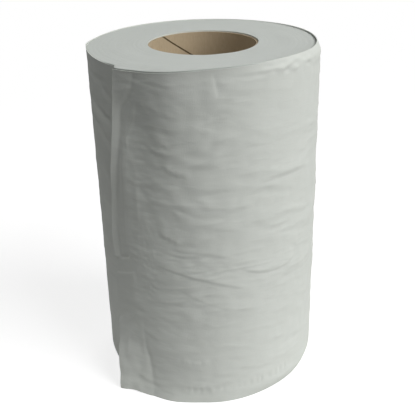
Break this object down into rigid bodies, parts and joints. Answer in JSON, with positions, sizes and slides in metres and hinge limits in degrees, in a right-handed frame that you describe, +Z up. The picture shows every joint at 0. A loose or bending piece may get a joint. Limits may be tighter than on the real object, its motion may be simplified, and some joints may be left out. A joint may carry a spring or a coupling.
{
  "type": "paper towel roll",
  "caption": "Centre-feed paper towel roll standing on its end: a wrinkled crepe paper web wound on a cardboard core, with a loose end that curls away at its lower corner.",
  "frame": {"origin": "on the axis of the core's bore, on the surface that the roll stands on", "axes": "+Z up along the bore's axis; -Y towards the front, with the loose end at the front left (-X); +X to the right"},
  "size_m": [0.1276, 0.1285, 0.1984],
  "materials": {
    "core_board": "plain brown spiral-wound board",
    "crepe_paper": "matt off-white creped tissue"
  },
  "bodies": {
    "root": {"core_tube": "core_board", "paper_roll": "crepe_paper"}
  },
  "joints": []
}
